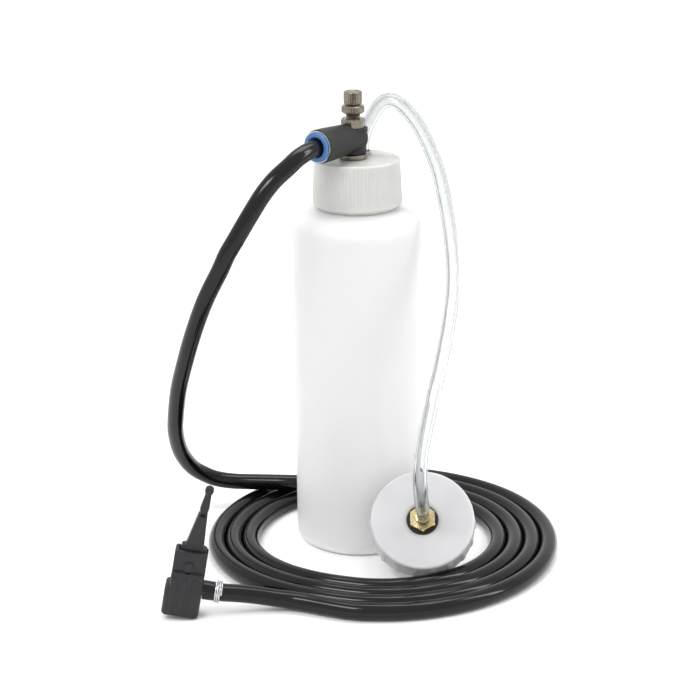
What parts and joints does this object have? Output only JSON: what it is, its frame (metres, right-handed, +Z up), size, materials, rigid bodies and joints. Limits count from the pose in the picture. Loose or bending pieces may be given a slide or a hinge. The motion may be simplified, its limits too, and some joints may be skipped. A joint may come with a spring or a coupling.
{
  "type": "pressure brake bleeder bottle",
  "caption": "Bottle pressure bleeder: screw-capped bottle, push-in flow-control elbow, coiled air hose with clip-on tyre-valve chuck, clear fluid hose to a reservoir adaptor cap.",
  "frame": {"origin": "centre of the bottle foot, on the surface it stands on", "axes": "+Z up along the bottle, -Y towards the front, +X to the right; the chuck lies front left and the adaptor cap front right"},
  "size_m": [0.2278, 0.2038, 0.2665],
  "materials": {
    "bottle_hdpe": "natural translucent HDPE, blow moulded",
    "cap_pp": "natural translucent polypropylene, injection moulded",
    "seal_rubber": "black nitrile rubber",
    "foam_liner": "foamed polyethylene liner",
    "nickel_brass": "turned brass, dull nickel plate",
    "zinc_steel": "zinc-plated steel",
    "elbow_pbt": "charcoal glass-filled PBT, fine moulded grain",
    "collet_blue": "pale blue acetal",
    "nylon_natural": "natural nylon",
    "clear_pvc": "clear flexible PVC",
    "adaptor_pe": "white polyethylene, injection moulded",
    "brass": "turned brass",
    "black_pvc": "glossy black reinforced PVC",
    "chuck_nylon": "black glass-filled nylon"
  },
  "bodies": {
    "root": {"bottle": "bottle_hdpe", "black_hose_drop": "black_pvc", "black_hose_coil": "black_pvc", "black_hose_tail": "black_pvc", "hose_clip": "zinc_steel", "chuck_barb": "brass", "chuck_body": "chuck_nylon", "chuck_end_cap": "chuck_nylon", "chuck_seal": "seal_rubber", "chuck_pin": "chuck_nylon"},
    "cap": {"bottle_cap": "cap_pp", "cap_liner": "foam_liner", "valve_stem": "nickel_brass", "valve_nut": "nickel_brass", "valve_washer": "zinc_steel", "elbow_body": "elbow_pbt", "swivel_orings": "seal_rubber", "collet_ring": "zinc_steel", "grab_ring": "zinc_steel", "tube_seal": "seal_rubber", "outlet_gland": "nylon_natural", "gland_nut": "nylon_natural", "gland_washer": "seal_rubber", "dip_tube": "clear_pvc"},
    "collet": {"release_collet": "collet_blue"},
    "needle_lift": {"needle_oring": "seal_rubber"},
    "adjuster": {"needle": "nickel_brass", "adjuster_knob": "nickel_brass"},
    "lock_nut": {"lock_nut": "nickel_brass"},
    "adaptor": {"adaptor_cap": "adaptor_pe", "adaptor_gasket": "seal_rubber", "brass_barb": "brass", "hex_seal": "seal_rubber", "barb_nut": "brass", "barb_washer": "zinc_steel", "clear_hose": "clear_pvc"},
    "chuck_lever": {"chuck_lever": "chuck_nylon"},
    "chuck_plunger": {"chuck_plunger": "brass"}
  },
  "joints": [
    {"name": "cap_lift", "type": "slide", "parent": "root", "child": "cap", "axis": [0, 0, 1], "range_m": [0, 0.03], "deforming": ["black_hose_drop"]},
    {"name": "collet_press", "type": "slide", "parent": "cap", "child": "collet", "axis": [0.6157, 0.788, 0], "range_m": [0, 0.0012]},
    {"name": "needle_rise", "type": "slide", "parent": "cap", "child": "needle_lift", "axis": [0, 0, 1], "range_m": [0, 0.0031]},
    {"name": "needle_turn", "type": "hinge", "parent": "needle_lift", "child": "adjuster", "pos_m": [-0.002, -0.001, 0.25], "axis": [0, 0, 1], "range_deg": [0, 1440]},
    {"name": "lock_nut_spin", "type": "hinge", "parent": "cap", "child": "lock_nut", "pos_m": [-0.002, -0.001, 0.2565], "axis": [0, 0, 1], "continuous": true},
    {"name": "adaptor_lift", "type": "slide", "parent": "cap", "child": "adaptor", "axis": [0.3006, -0.501, 0.8116], "range_m": [0, 0.08], "deforming": ["clear_hose"]},
    {"name": "lever_flip", "type": "hinge", "parent": "root", "child": "chuck_lever", "pos_m": [-0.09243, -0.1068, 0.02993], "axis": [0, 1, 0], "range_deg": [0, 80]},
    {"name": "plunger_press", "type": "slide", "parent": "root", "child": "chuck_plunger", "axis": [-0.1822, 0, -0.9833], "range_m": [0, 0.00165]}
  ],
  "couplings": [
    {"joint": "needle_rise", "follows": "needle_turn", "m_per_rad": 0.00011937},
    {"joint": "plunger_press", "follows": "lever_flip", "m_per_rad": 0.0011459}
  ]
}
